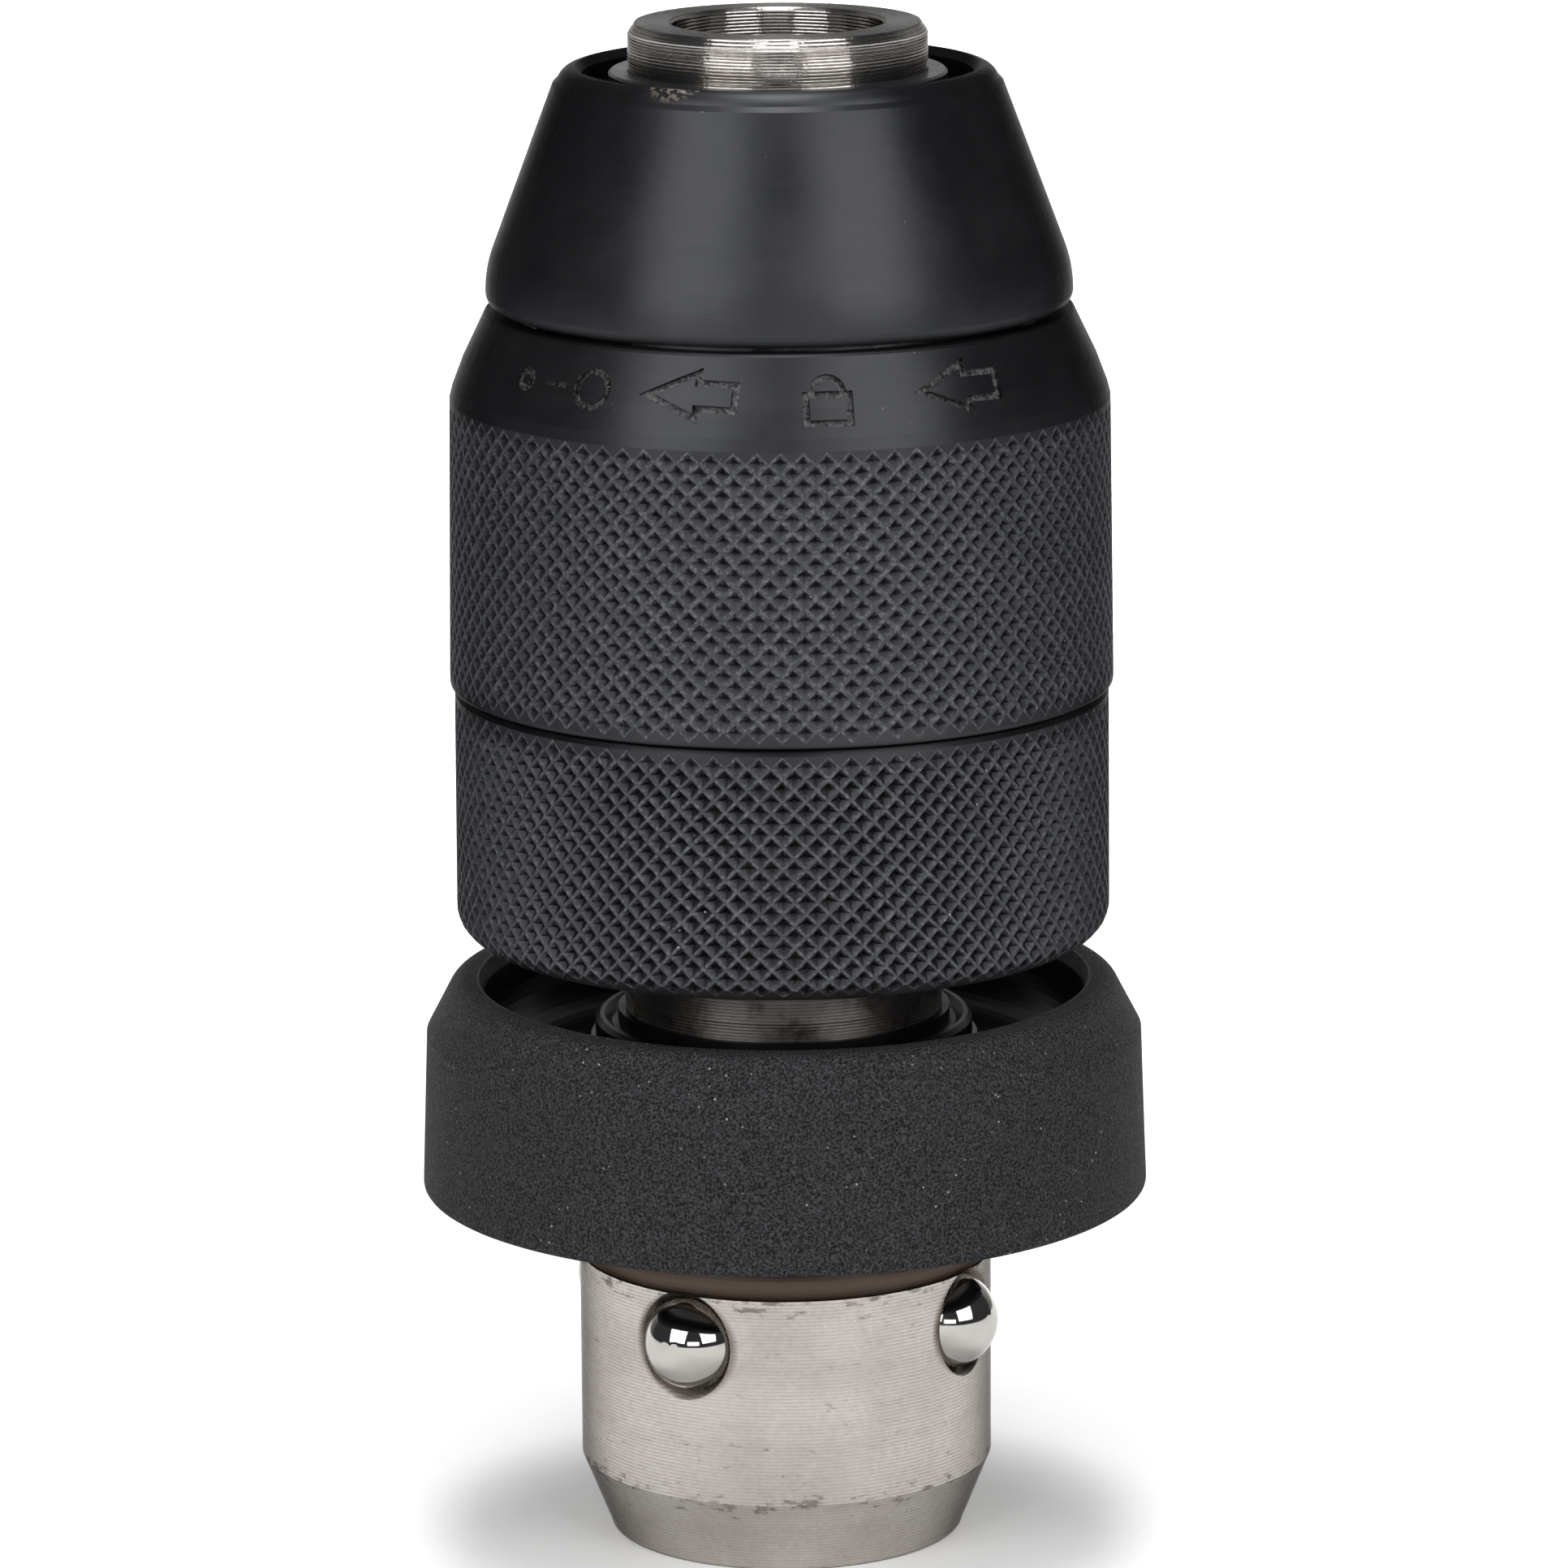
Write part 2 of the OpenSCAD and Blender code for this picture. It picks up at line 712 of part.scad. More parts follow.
// Cuts its children, a flat mark, into the clamping sleeve's band at an angle from the front
module on_band(angle) {
    lean = atan((band_foot_r - band_top_r) / (grip_top_z - band_foot_z));
    rotate([0, 0, angle])
        translate([0, -(band_foot_r + band_top_r) / 2, (band_foot_z + grip_top_z) / 2])
            rotate([90 - lean, 0, 0])
                translate([0, 0, -mark_depth])
                    linear_extrude(mark_cut_h)
                        children();
}

module clamping_sleeve() color("#26272a") difference() {
    turn(concat(
        [[sleeve_bore_r, grip_foot_z]],
        arc(grip_low_r - edge_r, grip_foot_z + edge_r, edge_r, -90, 0, 5),
        [
            [grip_high_r, grip_round_end_z],
            [band_foot_r, band_foot_z],
            [band_bend_r, band_bend_z],
            [band_top_r, grip_top_z - band_edge],
            [band_top_r - band_edge, grip_top_z],
            [band_bore_r, grip_top_z],
            [sleeve_bore_r, nut_foot_z - play]
        ]
    ));
    for (angle = arrow_angles) on_band(angle) arrow_mark();
    on_band(lock_angle) lock_mark();
    on_band(range_angle) range_mark();
}

// A jaw: a rod with two flats that meet its gripping edge, and thread cut across its back
module jaw(i) color("#8f8b86") difference() {
    intersection() {
        on_jaw(i) cylinder(r = jaw_r, h = rod_length(jaw_tail_z));
        rotate([0, 0, jaw_turn + i * 360 / jaw_count])
            linear_extrude(jaw_tip_z)
                polygon([
                    [jaw_open_r, -jaw_edge_w / 2],
                    [jaw_open_r + jaw_flat_len, -jaw_edge_w / 2 - jaw_flat_len * tan(jaw_flat_a)],
                    [jaw_open_r + jaw_flat_len, jaw_edge_w / 2 + jaw_flat_len * tan(jaw_flat_a)],
                    [jaw_open_r, jaw_edge_w / 2]
                ]);
    }
    for (z = [thread_foot_z : thread_pitch : thread_end_z])
        turn([
            [jaw_back(z) - thread_depth, z],
            [jaw_back(z) + thread_reach, z - thread_half_w],
            [jaw_back(z) + thread_reach, z + thread_half_w]
        ]);
}

module nose_cone() color("#1f2124") turn(concat(
    [[cone_r - cone_wall, cone_foot_z]],
    arc(cone_r - cone_hem_r, cone_foot_z + cone_hem_r, cone_hem_r, -60, 0, 5),
    arc(cone_r - cone_round_r, cone_round_z, cone_round_r, 0, cone_flank_a),
    [[cone_rim_r, cone_rim_z]],
    arc(cone_crest_r, cone_crest_z - cone_crest_round, cone_crest_round, cone_flank_a, 90, 8),
    [
        [cone_mouth_r, cone_crest_z - cone_mouth_drop],
        [cone_mouth_r, washer_top_z - washer_h],
        [washer_bore_r, washer_top_z - washer_h],
        [washer_bore_r, nose_seat_z],
        [cone_inner(nose_seat_z), nose_seat_z],
        [cone_inner(cone_shoulder_z), cone_shoulder_z],
        [cone_r - cone_wall, cone_foot_z + cone_hem_wall_h]
    ]
));

module nose_washer() color("#202124") turn([
    [washer_bore_r, washer_top_z - washer_h],
    [washer_r, washer_top_z - washer_h],
    [washer_r, washer_top_z - washer_edge],
    [washer_r - washer_edge, washer_top_z],
    [washer_bore_r, washer_top_z]
]);

coupling_tube();
stop_ring();
tube_pins();
drive_spindle();
spigot_circlip();
release_sleeve();
release_spring();
lock_ball(0);  // lock_ball_1
lock_ball(1);  // lock_ball_2
lock_ball(2);  // lock_ball_3
lock_ball(3);  // lock_ball_4
guard_collar();
chuck_body();
retaining_screw();
holding_sleeve();
guide_ring();
ratchet_ring();
pawl_springs();
rear_race();
ball_cage();
thrust_balls();
front_race();
drive_ring();
nut_half_left();
nut_half_right();
nut_band();
clamping_sleeve();
jaw(0);  // jaw_1
jaw(1);  // jaw_2
jaw(2);  // jaw_3
nose_cone();
nose_washer();
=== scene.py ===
"""Looks of the keyless drill chuck: materials, knurled sleeves, spring, light and camera.

Lengths are metres in the CAD model's frame, and MM turns the sizes written in millimetres into metres.
"""
import math

import bmesh
import bpy
import numpy as np
from mathutils import Matrix, Vector


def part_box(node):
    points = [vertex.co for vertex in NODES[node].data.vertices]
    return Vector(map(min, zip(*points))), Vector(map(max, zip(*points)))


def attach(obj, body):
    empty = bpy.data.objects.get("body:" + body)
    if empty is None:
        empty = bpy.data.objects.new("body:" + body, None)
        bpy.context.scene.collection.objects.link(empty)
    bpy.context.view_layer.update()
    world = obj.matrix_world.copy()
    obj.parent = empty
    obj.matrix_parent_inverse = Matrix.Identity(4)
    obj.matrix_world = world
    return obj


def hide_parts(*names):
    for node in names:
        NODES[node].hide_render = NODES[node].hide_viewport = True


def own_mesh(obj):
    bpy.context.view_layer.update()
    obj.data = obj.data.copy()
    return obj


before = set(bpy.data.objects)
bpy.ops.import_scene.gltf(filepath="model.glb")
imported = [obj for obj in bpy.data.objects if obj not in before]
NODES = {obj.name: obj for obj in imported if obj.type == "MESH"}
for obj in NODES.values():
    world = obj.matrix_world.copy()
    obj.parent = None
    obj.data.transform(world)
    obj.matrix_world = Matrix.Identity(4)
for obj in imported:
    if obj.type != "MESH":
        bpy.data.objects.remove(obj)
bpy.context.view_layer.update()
MM = 0.001
LOCK_BALLS = ["lock_ball_1", "lock_ball_2", "lock_ball_3", "lock_ball_4"]


# ---- Camera, light and stage ----

CAMERA_ELEVATION = 12.74  # degrees above the floor
CAMERA_DISTANCE = 533.6 * MM
CAMERA_ROLL = math.radians(-0.37)
CAMERA_AIM = Vector((0.1 * MM, 0, 50.07 * MM))
CAMERA_LENS = 187.3  # mm
SENSOR_WIDTH = 36  # mm

# The backdrop's foot, which the floor's lamp lights
BACKDROP_FOOT = Vector((0, 0.6, 0))


def around(azimuth, elevation, distance):
    """A point at this distance from the chuck's middle, in degrees from the front and above the floor."""
    a = math.radians(azimuth)
    e = math.radians(elevation)
    direction = Vector((math.sin(a) * math.cos(e), -math.cos(a) * math.cos(e), math.sin(e)))
    return CAMERA_AIM + distance * direction


def facing(place, aim):
    """Where a camera or a lamp stands, turned to look at aim."""
    turn = (Vector(place) - Vector(aim)).to_track_quat("Z", "Y")
    return Matrix.Translation(place) @ turn.to_matrix().to_4x4()


def make_camera():
    """From the front, a little above, with a long lens."""
    data = bpy.data.cameras.new("camera")
    data.sensor_width = SENSOR_WIDTH
    data.lens = CAMERA_LENS
    data.clip_start = 0.01
    data.clip_end = 20
    camera = bpy.data.objects.new("camera", data)
    place = around(0, CAMERA_ELEVATION, CAMERA_DISTANCE)
    camera.matrix_world = facing(place, CAMERA_AIM) @ Matrix.Rotation(CAMERA_ROLL, 4, "Z")
    bpy.context.scene.collection.objects.link(camera)
    bpy.context.scene.camera = camera


def make_lamp(name, place, size, power, aim=CAMERA_AIM, spread=180):
    """A rectangular soft light. size is its width and height, power is in watts and spread in degrees."""
    data = bpy.data.lights.new(name, "AREA")
    data.shape = "RECTANGLE"
    data.size, data.size_y = size
    data.energy = power
    data.spread = math.radians(spread)
    lamp = bpy.data.objects.new(name, data)
    lamp.matrix_world = facing(place, aim)
    bpy.context.scene.collection.objects.link(lamp)


def make_lamps():
    """A large softbox on each side, a low strip in front, one overhead and one for the floor behind."""
    make_lamp("left_box", around(-38, 32, 0.95), size=(0.64, 0.9), power=6.1)
    make_lamp("right_box", around(39, 32, 0.95), size=(0.64, 0.9), power=5.9)
    make_lamp("front_box", around(0, 7, 1), size=(0.5, 0.16), power=0.65)
    make_lamp("top_box", around(180, 84, 1.3), size=(0.4, 1.4), power=3.4, spread=80)
    overhead = Vector((0, 0.35, 1.2))
    make_lamp("floor_lamp", overhead, size=(1.2, 0.3), power=3.5, aim=BACKDROP_FOOT, spread=60)


def make_world():
    """A dim room: only the stage and the softboxes are bright."""
    world = bpy.data.worlds.new("room")
    world.use_nodes = True
    background = world.node_tree.nodes["Background"]
    background.inputs["Color"].default_value = (0.9, 0.95, 1, 1)
    background.inputs["Strength"].default_value = 0.06
    bpy.context.scene.world = world
    bpy.context.scene.view_settings.view_transform = "Standard"


def make_stage():
    """A pale floor that curves up into a backdrop behind the chuck."""
    front, back = -1.6, 1.1
    height, half_width = 2.2, 2.2
    bend, bend_steps = 0.5, 12
    outline = [(front, 0), (back - bend, 0)]
    for i in range(1, bend_steps + 1):
        a = math.radians(90 * i / bend_steps)
        outline.append((back - bend + bend * math.sin(a), bend - bend * math.cos(a)))
    outline.append((back, height))
    points = [(x, y, z) for y, z in outline for x in (-half_width, half_width)]
    faces = [(2 * i, 2 * i + 1, 2 * i + 3, 2 * i + 2) for i in range(len(outline) - 1)]
    mesh = bpy.data.meshes.new("stage")
    mesh.from_pydata(points, [], faces)
    mesh.shade_smooth()
    stage = bpy.data.objects.new("stage", mesh)
    bpy.context.scene.collection.objects.link(stage)
    stage.data.materials.append(paper())


# ---- Material nodes ----


class Recipe:
    """Builds one material. Values passed to its helpers are numbers, colours or other nodes' outputs."""

    def __init__(self, name, metallic=0.0, **sockets):
        """sockets sets more of the shader's inputs, with _ for each space in the input's name."""
        self.material = bpy.data.materials.new(name)
        self.material.use_nodes = True
        self.tree = self.material.node_tree
        self.shader = self.tree.nodes["Principled BSDF"]
        self.shader.inputs["Metallic"].default_value = metallic
        for socket, value in sockets.items():
            self.shader.inputs[socket.replace("_", " ")].default_value = value
        self.place = self.tree.nodes.new("ShaderNodeTexCoord").outputs["Object"]

    def put(self, socket, value):
        """Sets a socket to a number or a colour, or links it to an output."""
        if isinstance(value, bpy.types.NodeSocket):
            self.tree.links.new(value, socket)
        elif isinstance(value, (tuple, list)) and socket.type == "RGBA":
            socket.default_value = (*value[:3], 1)
        else:
            socket.default_value = value

    # Arithmetic

    def math(self, operation, a, b=0.0, clamp=False):
        node = self.tree.nodes.new("ShaderNodeMath")
        node.operation = operation
        node.use_clamp = clamp
        for socket, value in zip(node.inputs, (a, b)):
            self.put(socket, value)
        return node.outputs[0]

    def plus(self, a, b):
        return self.math("ADD", a, b)

    def times(self, a, b):
        return self.math("MULTIPLY", a, b)

    def remap(self, value, source, target=(0, 1)):
        """value taken from the source range to the target range, and held at the ends."""
        node = self.tree.nodes.new("ShaderNodeMapRange")
        self.put(node.inputs["Value"], value)
        for socket, number in zip(("From Min", "From Max", "To Min", "To Max"), (*source, *target)):
            self.put(node.inputs[socket], number)
        return node.outputs[0]

    def mix(self, share, a, b):
        """Colour a where share is 0, b where it is 1."""
        node = self.tree.nodes.new("ShaderNodeMix")
        node.data_type = "RGBA"
        colour_a, colour_b, mixed = node.inputs[6], node.inputs[7], node.outputs[2]
        self.put(node.inputs["Factor"], share)
        self.put(colour_a, a)
        self.put(colour_b, b)
        return mixed

    # Where the point lies

    def split(self, vector):
        """X, Y and Z of a vector."""
        node = self.tree.nodes.new("ShaderNodeSeparateXYZ")
        self.put(node.inputs[0], vector)
        return node.outputs

    def height(self):
        return self.split(self.place)["Z"]

    def radius(self):
        """Distance from the chuck's axis."""
        x, y, _ = self.split(self.place)
        return self.math("SQRT", self.plus(self.times(x, x), self.times(y, y)))

    def near_height(self, z, reach):
        """1 at height z, down to 0 at this reach above and below it."""
        away = self.math("ABSOLUTE", self.math("SUBTRACT", self.height(), z))
        return self.remap(away, (0, reach), (1, 0))

    def distance_to(self, point):
        node = self.tree.nodes.new("ShaderNodeVectorMath")
        node.operation = "DISTANCE"
        self.put(node.inputs[0], self.place)
        node.inputs[1].default_value = point
        return node.outputs["Value"]

    def ball_distance(self):
        """Distance to the nearest locking ball's centre."""
        nearest = 1.0
        for name in LOCK_BALLS:
            low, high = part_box(name)
            nearest = self.math("MINIMUM", self.distance_to((low + high) / 2), nearest)
        return nearest

    def facing_up(self):
        """0 where the surface leans down, 1 where it leans up."""
        geometry = self.tree.nodes.new("ShaderNodeNewGeometry")
        return self.remap(self.split(geometry.outputs["True Normal"])["Z"], (-0.2, 0.35))

    def stretched(self, x, y, z):
        """The point scaled along each axis."""
        node = self.tree.nodes.new("ShaderNodeMapping")
        self.put(node.inputs["Vector"], self.place)
        node.inputs["Scale"].default_value = (x, y, z)
        return node.outputs[0]

    # Patterns

    def noise(self, size, detail=2.0, vector=None, roughness=0.5):
        """Noise whose features are about size metres across."""
        node = self.tree.nodes.new("ShaderNodeTexNoise")
        self.put(node.inputs["Vector"], vector or self.place)
        node.inputs["Scale"].default_value = 1 / size
        node.inputs["Detail"].default_value = detail
        node.inputs["Roughness"].default_value = roughness
        return node.outputs["Fac"]

    def rings(self, pitch, detail=2.0):
        """Noise that changes only with height, as lathe marks do."""
        node = self.tree.nodes.new("ShaderNodeTexNoise")
        node.noise_dimensions = "1D"
        self.put(node.inputs["W"], self.height())
        node.inputs["Scale"].default_value = 1 / pitch
        node.inputs["Detail"].default_value = detail
        return node.outputs["Fac"]

    def feed_marks(self, pitch):
        """The even ripple that a lathe tool leaves, a little ragged, from 0 to 1."""
        drift = self.times(self.noise(3 * MM, detail=3), 0.3)
        turns = self.plus(self.math("DIVIDE", self.height(), pitch), drift)
        wave = self.math("SINE", self.times(turns, 2 * math.pi))
        ripple = self.plus(self.times(wave, 0.35), self.noise(0.4 * MM, detail=2))
        return self.math("ADD", ripple, 0.0, clamp=True)

    def cells(self, size):
        """Distance to the nearest of scattered points, about size metres apart."""
        node = self.tree.nodes.new("ShaderNodeTexVoronoi")
        self.put(node.inputs["Vector"], self.place)
        node.inputs["Scale"].default_value = 1 / size
        return node.outputs["Distance"]

    # Surface

    def bump(self, height, depth):
        """Relief of depth metres from a height of 0 to 1."""
        node = self.tree.nodes.new("ShaderNodeBump")
        node.inputs["Distance"].default_value = depth
        self.put(node.inputs["Height"], height)
        return node.outputs[0]

    def lathe(self, strength):
        """Stretches the highlights along the axis, as fine turned grooves do."""
        node = self.tree.nodes.new("ShaderNodeTangent")
        node.direction_type = "RADIAL"
        node.axis = "Z"
        self.put(self.shader.inputs["Tangent"], node.outputs[0])
        self.shader.inputs["Anisotropic"].default_value = strength
        self.shader.inputs["Anisotropic Rotation"].default_value = 0.25

    def finish(self, colour, roughness, normal):
        self.put(self.shader.inputs["Base Color"], colour)
        self.put(self.shader.inputs["Roughness"], roughness)
        self.put(self.shader.inputs["Normal"], normal)
        return self.material


# ---- Materials ----

DARK_EDGE = (0.3, 0.3, 0.3, 1)  # tint of a metal seen edge on
LEAD_IN_Z = 5 * MM  # top of the tube's tapered foot
STOP_RING_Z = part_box("stop_ring")[0].z  # its lower face
BALL_HOLE_R = 3.5 * MM  # from a ball's centre to the rim of its hole
BODY_TOP_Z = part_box("chuck_body")[1].z
BOWL_R = 19.7 * MM  # the mouth of the guard collar's bowl
WORN_SPOT = Vector((-6 * MM, -10.4 * MM, 97.2 * MM))  # on the front left of the cone's rim


def paper():
    """The stage: matte, near white, faintly uneven."""
    m = Recipe("paper")
    cloud = m.noise(0.25, detail=3)
    shade, light = (0.86, 0.86, 0.86), (0.9, 0.9, 0.895)
    fibres = m.bump(m.noise(4 * MM), 0.1 * MM)
    return m.finish(m.mix(cloud, shade, light), roughness=0.85, normal=fibres)


def turned(name, light, dark, roughness):
    """Steel off the lathe: fine rings, a slow change of tone and a few faint stains."""
    m = Recipe(name, metallic=1.0)
    m.lathe(0.7)
    rings = m.rings(0.12 * MM, detail=3)
    broad = m.rings(1.6 * MM, detail=1)
    stain = m.remap(m.noise(5 * MM, detail=6, roughness=0.7), (0.52, 0.72))
    tone = m.plus(m.times(broad, 0.5), m.times(rings, 0.5))
    colour = m.mix(m.remap(tone, (0.3, 0.7)), dark, light)
    stained = [0.45 * c for c in dark]
    colour = m.mix(m.times(stain, 0.35), colour, stained)
    wear = m.plus(rings, m.times(stain, 0.5))
    rough = m.remap(wear, (0.3, 1.2), (roughness - 0.06, roughness + 0.12))
    return m.finish(colour, rough, m.bump(rings, 0.004 * MM))


def tube_steel():
    """The coupling tube: warm turned steel, browned round the ball holes and scuffed at its edges."""
    m = Recipe("tube_steel", metallic=1.0, Specular_Tint=DARK_EDGE)
    m.lathe(0.6)
    dark, light, groove = (0.44, 0.408, 0.378), (0.57, 0.538, 0.508), (0.29, 0.262, 0.24)
    scuffed, browned = (0.12, 0.098, 0.084), (0.09, 0.072, 0.06)

    rings = m.feed_marks(0.235 * MM)
    broad = m.rings(2.5 * MM, detail=2)
    cloud = m.noise(7 * MM, detail=5, roughness=0.6)
    tone = m.plus(m.times(cloud, 0.7), m.times(broad, 0.3))
    colour = m.mix(m.remap(tone, (0.35, 0.65)), dark, light)
    colour = m.mix(m.times(rings, 0.45), colour, groove)

    smear = m.noise(1.1 * MM, detail=6, vector=m.stretched(0.7, 0.7, 1.8), roughness=0.7)
    edge = m.near_height(LEAD_IN_Z, 1.2 * MM)
    edge = m.math("MAXIMUM", edge, m.near_height(STOP_RING_Z, 1.6 * MM))
    scuff = m.remap(m.plus(smear, m.times(edge, 0.12)), (0.62, 0.72), (0, 0.7))
    colour = m.mix(scuff, colour, scuffed)

    rim = m.remap(m.ball_distance(), (BALL_HOLE_R + 0.4 * MM, BALL_HOLE_R))
    patchy = m.remap(cloud, (0.3, 0.6), (0.5, 1))
    colour = m.mix(m.times(rim, patchy), colour, browned)

    rough = m.remap(m.plus(rings, scuff), (0.3, 1.3), (0.24, 0.42))
    return m.finish(colour, rough, m.bump(rings, 0.005 * MM))


def body_steel():
    """The chuck body: bright at the nose, darkened by oil and heat everywhere below the cone."""
    m = Recipe("body_steel", metallic=1.0, Specular_Tint=DARK_EDGE)
    m.lathe(0.8)
    rings = m.feed_marks(0.22 * MM)

    dark_band, light_band, groove = (0.5, 0.475, 0.45), (0.7, 0.67, 0.64), (0.16, 0.148, 0.137)
    bright = m.mix(m.remap(m.rings(0.9 * MM), (0.4, 0.7)), dark_band, light_band)
    bright = m.mix(m.times(rings, 0.5), bright, groove)
    # Painted shade: the nose's flat end face is coloured darker, to dim the top lamp's light on it
    end_face = m.remap(m.height(), (BODY_TOP_Z - 0.06 * MM, BODY_TOP_Z - 0.02 * MM))
    painted_shade_end_face = (0.2, 0.19, 0.18)
    bright = m.mix(end_face, bright, painted_shade_end_face)

    low, crest, oil = (0.24, 0.218, 0.2), (0.44, 0.41, 0.385), (0.02, 0.018, 0.017)
    stain = m.remap(m.noise(3.5 * MM, detail=6, roughness=0.7), (0.5, 0.66))
    dull = m.mix(rings, low, crest)
    dull = m.mix(m.times(stain, 0.75), dull, oil)

    nose = m.remap(m.height(), (90 * MM, 94 * MM))
    colour = m.mix(nose, dull, bright)
    dull_rough, bright_rough = (0.45, 0.45, 0.45), (0.14, 0.14, 0.14)
    rough = m.mix(nose, dull_rough, bright_rough)
    rough = m.plus(rough, m.times(m.plus(rings, end_face), 0.1))
    return m.finish(colour, rough, m.bump(rings, 0.018 * MM))


def burnished_steel(name="burnished_steel", worn_spot=None):
    """Blue-black burnished steel with a satin sheen, handling marks and, at worn_spot, bare flecks."""
    m = Recipe(name, metallic=0.95, Specular_Tint=DARK_EDGE)
    m.lathe(0.6)
    dark, light = (0.034, 0.035, 0.038), (0.048, 0.0487, 0.0518)
    nicked, bare = (0.22, 0.21, 0.2), (0.38, 0.33, 0.27)
    haze = m.noise(9 * MM, detail=5, roughness=0.6)
    colour = m.mix(m.remap(haze, (0.35, 0.7)), dark, light)
    speck = m.remap(m.cells(1.7 * MM), (0.035, 0.02), (0, 0.5))
    colour = m.mix(speck, colour, nicked)
    if worn_spot is not None:
        flake = m.remap(m.noise(0.35 * MM, detail=3), (0.5, 0.56))
        edge = m.near_height(worn_spot.z, 0.6 * MM)
        spot = m.remap(m.distance_to(worn_spot), (2.4 * MM, 1.6 * MM))
        worn = m.times(m.remap(edge, (0, 0.5)), m.times(spot, flake))
        colour = m.mix(worn, colour, bare)
    ten_times_as_long = m.stretched(260, 260, 2600)
    scratch = m.noise(1, detail=3, vector=ten_times_as_long, roughness=0.6)
    rough = m.remap(m.plus(haze, m.times(scratch, 0.4)), (0.5, 1.0), (0.38, 0.5))
    fine = m.noise(0.25 * MM, detail=3)
    return m.finish(colour, rough, m.bump(fine, 0.004 * MM))


def knurled_steel():
    """Burnished steel on the grips: greyer on the ridges' tops, with small bare flecks, and painted shade
    on the pits' walls that lean down.
    """
    m = Recipe("knurled_steel", metallic=0.85, Specular_Tint=DARK_EDGE)
    attribute = m.tree.nodes.new("ShaderNodeAttribute")
    attribute.attribute_name = "crest"
    crest = attribute.outputs["Fac"]

    painted_shade_pit_wall, lit_pit_wall = (0.0025, 0.0026, 0.003), (0.030, 0.0309, 0.0342)
    dark_top, light_top = (0.044, 0.0456, 0.0508), (0.062, 0.0638, 0.0702)
    # Painted shade: pit walls that lean down are coloured near black and those that lean up lighter, as
    # light from above falls on them
    pit = m.mix(m.facing_up(), painted_shade_pit_wall, lit_pit_wall)
    top = m.mix(m.noise(6 * MM, detail=4), dark_top, light_top)
    colour = m.mix(m.math("POWER", crest, 2.0), pit, top)
    bare = (0.55, 0.55, 0.55)
    fleck = m.remap(m.cells(1.1 * MM), (0.085, 0.05))
    fleck = m.times(fleck, m.remap(m.noise(7 * MM, detail=3), (0.56, 0.66)))
    colour = m.mix(fleck, colour, bare)

    pit_grit, top_grit = (0.008, 0.0082, 0.009), (0.15, 0.153, 0.165)
    grit = m.noise(0.3 * MM, detail=4, roughness=0.7)
    speckle = m.mix(crest, pit_grit, top_grit)
    colour = m.mix(m.remap(grit, (0.48, 0.66), (0, 0.8)), colour, speckle)
    rough = m.remap(grit, (0.3, 0.7), (0.40, 0.56))
    return m.finish(colour, rough, m.bump(grit, 0.04 * MM))


def stamped_steel():
    """The floors and sides of the pressed marks: rough and a little greyer than the burnished band."""
    m = Recipe("stamped_steel", metallic=0.75)
    dark, light = (0.014, 0.0143, 0.0153), (0.12, 0.121, 0.125)
    grit = m.noise(0.25 * MM, detail=4, roughness=0.65)
    colour = m.mix(m.remap(grit, (0.4, 0.62)), dark, light)
    rough = m.remap(grit, (0.3, 0.7), (0.42, 0.6))
    return m.finish(colour, rough, m.bump(grit, 0.05 * MM))


def grained_plastic():
    """Black moulded plastic with a spark-eroded grain outside, its bumps lightened as painted glints, and a
    smooth, glossy bowl.
    """
    m = Recipe("grained_plastic")
    outside = m.remap(m.radius(), (BOWL_R, BOWL_R + 0.5 * MM))
    grain = m.remap(m.noise(0.16 * MM, detail=2, roughness=0.6), (0.38, 0.66))
    grain = m.times(grain, outside)
    dark, light = (0.007, 0.0072, 0.0078), (0.012, 0.0122, 0.013)
    grain_glint, dusty = (0.056, 0.0566, 0.0596), (0.3, 0.3, 0.29)
    colour = m.mix(m.noise(12 * MM, detail=3), dark, light)
    # Painted highlight: the grain's light specks stand in for the glints on its glossy bumps
    colour = m.mix(grain, colour, grain_glint)
    dust = m.times(m.remap(m.cells(0.8 * MM), (0.11, 0.07)), m.remap(m.noise(5 * MM), (0.45, 0.6)))
    colour = m.mix(m.times(dust, outside), colour, dusty)
    m.put(m.shader.inputs["Specular IOR Level"], m.remap(outside, (0, 1), (0.6, 0.03)))
    rough = m.plus(0.28, m.times(outside, 0.32))
    return m.finish(colour, rough, m.bump(grain, 0.07 * MM))


def bronze():
    """The stop ring: dull brown, with a painted highlight along its crown."""
    m = Recipe("bronze", metallic=0.95, Specular_Tint=DARK_EDGE)
    dark, light, crown_highlight = (0.03, 0.021, 0.016), (0.075, 0.056, 0.045), (0.13, 0.104, 0.086)
    tarnish = m.noise(2.5 * MM, detail=5, roughness=0.65)
    colour = m.mix(tarnish, dark, light)
    # Painted highlight: the crown is coloured lighter where the light catches its rounded top
    crown = m.remap(m.radius(), (13.7 * MM, 14.0 * MM))
    colour = m.mix(m.times(crown, 0.35), colour, crown_highlight)
    rough = m.remap(tarnish, (0.3, 0.7), (0.34, 0.5))
    grain = m.noise(0.2 * MM, detail=3)
    return m.finish(colour, rough, m.bump(grain, 0.006 * MM))


def polished_steel():
    """Bearing balls: mirror bright, with hairline scratches and a trace of oil."""
    m = Recipe("polished_steel", metallic=1.0)
    dark, light = (0.42, 0.405, 0.38), (0.52, 0.505, 0.48)
    film = m.noise(1.2 * MM, detail=5, roughness=0.6)
    rough = m.remap(film, (0.45, 0.75), (0.035, 0.11))
    hair = m.noise(1, detail=2, vector=m.stretched(900, 5000, 1400))
    return m.finish(m.mix(film, dark, light), rough, m.bump(hair, 0.0006 * MM))


